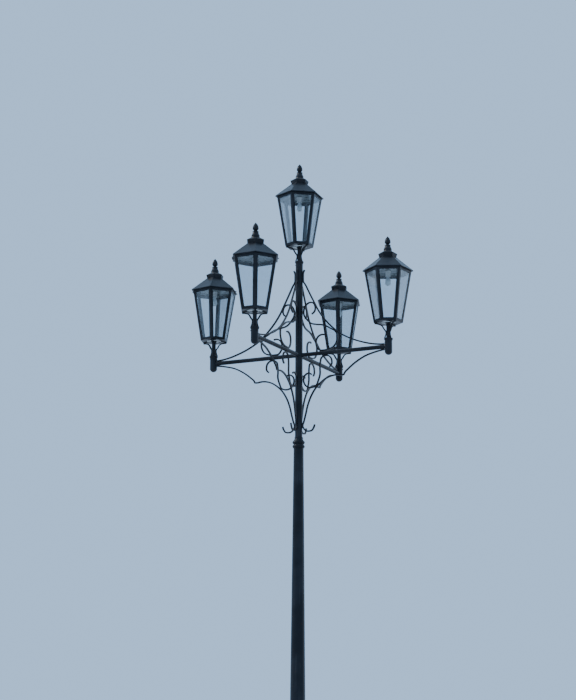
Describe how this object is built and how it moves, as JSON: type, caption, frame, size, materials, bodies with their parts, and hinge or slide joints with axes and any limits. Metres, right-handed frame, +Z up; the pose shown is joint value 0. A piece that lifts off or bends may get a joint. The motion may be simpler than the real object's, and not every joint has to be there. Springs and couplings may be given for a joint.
{
  "type": "street lamp post",
  "caption": "Tall black street lamp post: hexagonal lanterns on horizontal arms and on top, with wrought scrollwork, hinged lantern roofs and a service door.",
  "frame": {"origin": "centre of the base flange's underside", "axes": "+Z up the post; arms along +X, +Y, -X and -Y; service door faces -Y"},
  "size_m": [2.4888, 2.469, 7.069],
  "materials": {
    "steel_paint": "black gloss paint on steel tube and plate",
    "cast_paint": "black gloss paint on castings",
    "wrought_paint": "black gloss paint on forged bar",
    "lantern_paint": "black gloss paint on sheet metal, weathered grey on upper faces",
    "clear_glass": "clear pane, slightly dusty",
    "frosted_glass": "frosted pane",
    "reflector_enamel": "grey-green enamel, dulled by heat and dust",
    "bulb_glass": "pearl glass with a metal cap",
    "lock_steel": "zinc-plated steel",
    "box_plastic": "grey moulded plastic"
  },
  "bodies": {
    "post": {"base_flange": "steel_paint", "base_gussets": "steel_paint", "base_tube": "steel_paint", "base_ring": "cast_paint", "tapered_shaft": "steel_paint", "shaft_collar": "cast_paint", "upper_post": "steel_paint", "top_socket": "cast_paint", "door_hinges": "steel_paint", "fuse_box": "box_plastic", "arm_east": "steel_paint", "scrollwork_east": "wrought_paint", "arm_north": "steel_paint", "scrollwork_north": "wrought_paint", "arm_west": "steel_paint", "scrollwork_west": "wrought_paint", "arm_south": "steel_paint", "scrollwork_south": "wrought_paint", "cradle_east": "cast_paint", "frame_east": "lantern_paint", "side_glass_east": "clear_glass", "floor_glass_east": "frosted_glass", "cradle_north": "cast_paint", "frame_north": "lantern_paint", "side_glass_north": "clear_glass", "floor_glass_north": "frosted_glass", "cradle_west": "cast_paint", "frame_west": "lantern_paint", "side_glass_west": "clear_glass", "floor_glass_west": "frosted_glass", "cradle_south": "cast_paint", "frame_south": "lantern_paint", "side_glass_south": "clear_glass", "floor_glass_south": "frosted_glass", "cradle_top": "cast_paint", "frame_top": "lantern_paint", "side_glass_top": "clear_glass", "floor_glass_top": "frosted_glass"},
    "door": {"service_door": "steel_paint"},
    "lock": {"door_lock": "lock_steel"},
    "roof_east": {"roof_east": "lantern_paint", "finial_east": "cast_paint", "reflector_east": "reflector_enamel", "bulb_east": "bulb_glass"},
    "roof_north": {"roof_north": "lantern_paint", "finial_north": "cast_paint", "reflector_north": "reflector_enamel", "bulb_north": "bulb_glass"},
    "roof_west": {"roof_west": "lantern_paint", "finial_west": "cast_paint", "reflector_west": "reflector_enamel", "bulb_west": "bulb_glass"},
    "roof_south": {"roof_south": "lantern_paint", "finial_south": "cast_paint", "reflector_south": "reflector_enamel", "bulb_south": "bulb_glass"},
    "roof_top": {"roof_top": "lantern_paint", "finial_top": "cast_paint", "reflector_top": "reflector_enamel", "bulb_top": "bulb_glass"}
  },
  "joints": [
    {"name": "roof_hinge_east", "type": "hinge", "parent": "post", "child": "roof_east", "pos_m": [1.22728, -0.02389, 5.7798], "axis": [0.1045, 0.9945, 0], "range_deg": [0, 100]},
    {"name": "roof_hinge_north", "type": "hinge", "parent": "post", "child": "roof_north", "pos_m": [0.03614, 1.22566, 5.7798], "axis": [-0.9874, 0.1582, 0], "range_deg": [0, 100]},
    {"name": "roof_hinge_west", "type": "hinge", "parent": "post", "child": "roof_west", "pos_m": [-1.21747, -0.07024, 5.7798], "axis": [0.3074, -0.9516, 0], "range_deg": [0, 100]},
    {"name": "roof_hinge_south", "type": "hinge", "parent": "post", "child": "roof_south", "pos_m": [-0.20197, -1.10694, 5.7798], "axis": [0.4679, -0.8838, 0], "range_deg": [0, 100]},
    {"name": "roof_hinge_top", "type": "hinge", "parent": "post", "child": "roof_top", "pos_m": [-0.13401, 0.18512, 6.6978], "axis": [-0.81, -0.5864, 0], "range_deg": [0, 100]},
    {"name": "door_hinge", "type": "hinge", "parent": "post", "child": "door", "pos_m": [-0.07331, -0.07328, 0.68], "axis": [0, 0, -1], "range_deg": [0, 110]},
    {"name": "lock_turn", "type": "hinge", "parent": "door", "child": "lock", "pos_m": [0.032, -0.09, 0.68], "axis": [0, 1, 0], "range_deg": [0, 90]}
  ]
}
